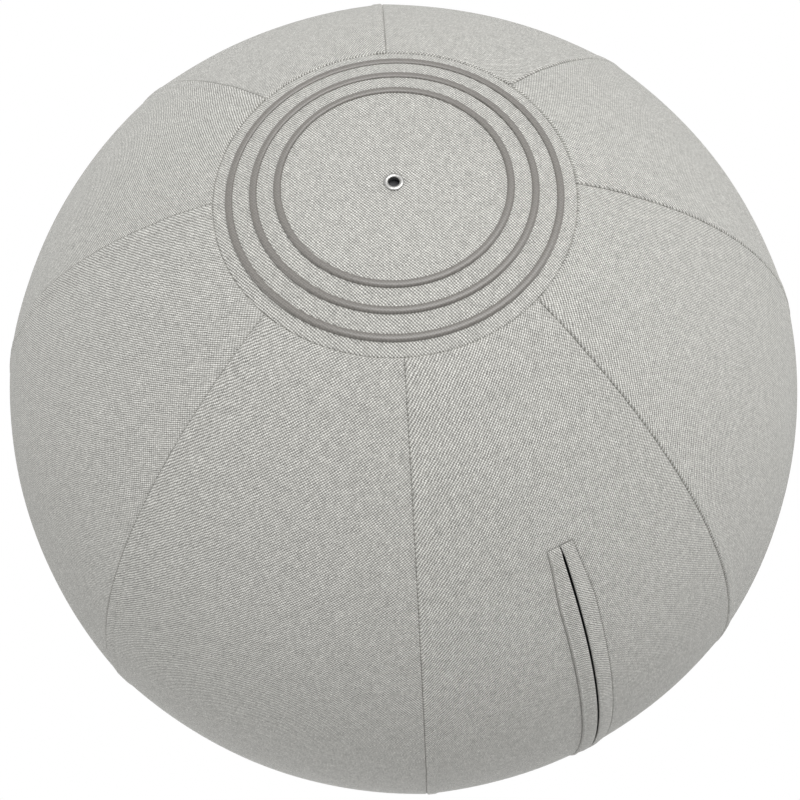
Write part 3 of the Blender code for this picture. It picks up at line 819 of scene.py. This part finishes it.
def zip_slider():
    """The slider: two waisted plates with lips, a wedge between them, and a hooped bridge for the pull."""
    right = [(0.9, 4.5), (3.3, 4.5), (4, 3.8), (4, 2.6), (3.6, 0.5), (3.5, -3.6), (2.9, -4.5)]
    outline = [(x * MM, y * MM) for x, y in [(0, 3.7)] + right + [(-x, y) for x, y in reversed(right)]]
    bm = bmesh.new()
    inner_plate = SLIDER_BOTTOM + SLIDER_PLATE
    outer_plate = SLIDER_TOP - SLIDER_PLATE
    plate(bm, outline, SLIDER_BOTTOM, inner_plate)
    plate(bm, outline, outer_plate, SLIDER_TOP)
    lip, sunk = SLIDER_LIP, SLIDER_PLATE / 2
    for side in (-1, 1):
        lips = ((inner_plate - sunk, inner_plate + lip), (outer_plate - lip, outer_plate + sunk))
        for low, high in lips:
            plate(bm, block(side * 3 * MM, side * 3.55 * MM, -3.4 * MM, 2.4 * MM), low, high)
    wedge = [(0, 0.4), (0.33, 1.6), (0.33, 3.4), (-0.33, 3.4), (-0.33, 1.6)]
    plate(bm, [(x * MM, y * MM) for x, y in wedge], inner_plate - sunk, outer_plate + sunk)

    reach, rise, thick, foot = SLIDER_LENGTH / 2 - 0.5 * MM, BRIDGE_TOP - SLIDER_TOP, 1.1 * MM, 0.3 * MM
    turn = np.radians(np.linspace(0, 180, 17))
    shape = np.sign(np.cos(turn)) * np.abs(np.cos(turn)) ** 0.6, np.sin(turn) ** 0.7
    hoop = []
    for cut, way in ((0, 1), (thick, -1)):
        y = (reach - cut) * shape[0]
        z = SLIDER_TOP - foot + (rise - cut + foot) * shape[1]
        hoop += list(zip(y[::way], z[::way]))
    sides = [[bm.verts.new((x, y, z)) for y, z in hoop] for x in (-BRIDGE_HALF, BRIDGE_HALF)]
    count = len(hoop)
    for i in range(count):
        bm.faces.new((sides[0][i - 1], sides[0][i], sides[1][i], sides[1][i - 1]))
    for face in sides:
        for i in range(count // 2 - 1):
            bm.faces.new((face[i], face[i + 1], face[count - 2 - i], face[count - 1 - i]))
    made = small_part("zip_slider_body", bm, ZIP_METAL_LOOK, slider_frame(), 0.16 * MM)
    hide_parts("zip_slider")
    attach(made, "slider")


def zip_pull():
    """The pull: a waisted tab with a window for the bridge, and grip ribs."""
    pin = PULL_THICK / 2
    window = BRIDGE_HALF + 0.45 * MM
    shoulder = PULL_WINDOW + 1.5 * MM
    half, arm = PULL_TAB_HALF, PULL_ARM_HALF
    tip = PULL_LENGTH - half
    turns = np.linspace(0, math.pi, 17)
    round_end = [(half * math.cos(a), -tip - half * math.sin(a)) for a in turns]
    right = [(arm - 0.3 * MM, pin), (arm, pin - 0.3 * MM), (arm, 1 * MM - shoulder),
             (arm + 0.45 * MM, -shoulder), (half, -shoulder - 1 * MM)]
    outline = right + round_end + [(-x, y) for x, y in reversed(right)]
    hole = block(-window, window, -PULL_WINDOW, -pin)
    bm = bmesh.new()
    edges = []
    for loop in (outline, hole):
        verts = [bm.verts.new((x, y, -pin)) for x, y in loop]
        edges += [bm.edges.new((verts[i - 1], verts[i])) for i in range(len(verts))]
    bmesh.ops.triangle_fill(bm, use_beauty=True, edges=edges)
    top = bmesh.ops.extrude_face_region(bm, geom=bm.faces[:], use_keep_orig=True)["geom"]
    raised = [item for item in top if isinstance(item, bmesh.types.BMVert)]
    bmesh.ops.translate(bm, vec=(0, 0, PULL_THICK), verts=raised)
    for number in range(5):
        y = 5.6 * MM - tip - number * 1.9 * MM
        rib = block(-2.3 * MM, 2.3 * MM, y - 0.4 * MM, y + 0.4 * MM)
        for face in (-pin, pin):
            plate(bm, rib, face - 0.2 * MM, face + 0.2 * MM)
    lift = Matrix.Translation((0, 0, (PULL_PIN - CENTRE).length))
    made = small_part("zip_pull_tab", bm, ZIP_METAL_LOOK, slider_frame() @ lift, 0.22 * MM)
    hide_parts("zip_pull")
    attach(made, "pull")


def carried_over():
    """The CAD nodes that keep their own shape get their materials."""
    looks = {"valve_seat": VINYL_LOOK, "valve_plug": PLUG_LOOK, "eyelet_washer": STEEL_LOOK,
             "zip_top_stop_left": ZIP_METAL_LOOK, "zip_top_stop_right": ZIP_METAL_LOOK,
             "zip_bottom_stop": ZIP_METAL_LOOK}
    for name, look in looks.items():
        slots = frame["nodes"][name].material_slots
        if not slots:
            frame["nodes"][name].data.materials.append(look)
        for slot in frame["nodes"][name].material_slots:
            slot.material = look


# ---- The stage

def camera():
    """Under the ball and on its zip side, turned so that the base is at the top of the picture."""
    tilt, swing, roll = CAMERA_TILT, CAMERA_SWING, CAMERA_ROLL
    distance = CAMERA_DISTANCE * BALL_RADIUS
    side = -Vector((math.cos(swing), math.sin(swing), 0))
    level = Vector((-math.sin(swing), math.cos(swing), 0))
    down = Vector((0, 0, -1))
    rise = math.sin(tilt) * down + math.cos(tilt) * level
    back = math.cos(tilt) * down - math.sin(tilt) * level
    right = math.cos(roll) * side - math.sin(roll) * rise
    up = math.sin(roll) * side + math.cos(roll) * rise
    made = bpy.data.objects.new("camera", bpy.data.cameras.new("camera"))
    bpy.context.scene.collection.objects.link(made)
    made.data.lens = CAMERA_LENS
    made.data.sensor_width = CAMERA_SENSOR
    made.data.clip_start = 0.01
    eye = CENTRE + back * distance
    aim = CENTRE - right * distance * AIM_LEFT - up * distance * AIM_DOWN
    back = (eye - aim).normalized()
    right = up.cross(back).normalized()
    axes = Matrix((right, back.cross(right), back)).transposed()
    made.matrix_world = Matrix.Translation(eye) @ axes.to_4x4()
    bpy.context.scene.camera = made
    return right, up, back


def light(name, direction, distance, size, power, colour=(1, 1, 1)):
    """A round area light that faces the ball."""
    made = bpy.data.objects.new(name, bpy.data.lights.new(name, "AREA"))
    bpy.context.scene.collection.objects.link(made)
    direction = Vector(direction).normalized()
    made.location = CENTRE + direction * distance
    made.rotation_mode = "QUATERNION"
    made.rotation_quaternion = direction.to_track_quat("Z", "Y")
    made.data.shape = "DISK"
    made.data.size = size
    made.data.energy = power
    made.data.color = colour
    made.visible_camera = False


def stage(right, up, back):
    """A pale floor, a white surround, and soft lights above, below, beside and behind the ball."""
    bm = bmesh.new()
    bmesh.ops.create_circle(bm, cap_ends=True, segments=96, radius=FLOOR_RADIUS)
    mesh = bpy.data.meshes.new("floor")
    bm.to_mesh(mesh)
    bm.free()
    mesh.materials.append(floor_material())
    floor = bpy.data.objects.new("floor", mesh)
    bpy.context.scene.collection.objects.link(floor)
    floor.visible_shadow = False
    floor.visible_diffuse = False
    floor.visible_glossy = False
    floor.visible_transmission = False

    world = bpy.data.worlds.new("studio")
    bpy.context.scene.world = world
    world.use_nodes = True
    nodes = Nodes(world.node_tree)
    background = world.node_tree.nodes["Background"]
    background.inputs["Color"].default_value = (1, 1, 1, 1)
    seen = nodes.add("ShaderNodeLightPath").outputs["Is Camera Ray"]
    nodes.feed(background.inputs["Strength"], nodes.ramp(seen, 0, 1, SURROUND, 1))

    light("under_light", right * 0.16 + up * 0.5 + back * 0.85, 2.2, 1.6, 28.5)
    light("over_light", (0.07, -0.17, 0.98), 2.4, 2.2, 60)
    light("side_light_left", (-1, 0.03, 0.05), 2.4, 1.2, 9)
    light("side_light_right", (0.98, -0.2, -0.05), 2.4, 1.2, 9)
    light("rear_light", (0.46, 0.83, 0.1), 2.4, 1.4, 10)
    settings = bpy.context.scene.view_settings
    settings.view_transform = "Standard"
    settings.look = "None"


stage(*camera())
inner_ball()
for number in range(PANEL_COUNT):
    panel(number, zip_slot=number == 0)
base_disc()
top_cap()
for label in ("inner", "middle", "outer"):
    anti_slip_ring(label)
eyelet()
for side in (-1, 1):
    welt(side)
    tape(side)
    coil(side)
zip_slider()
zip_pull()
carried_over()
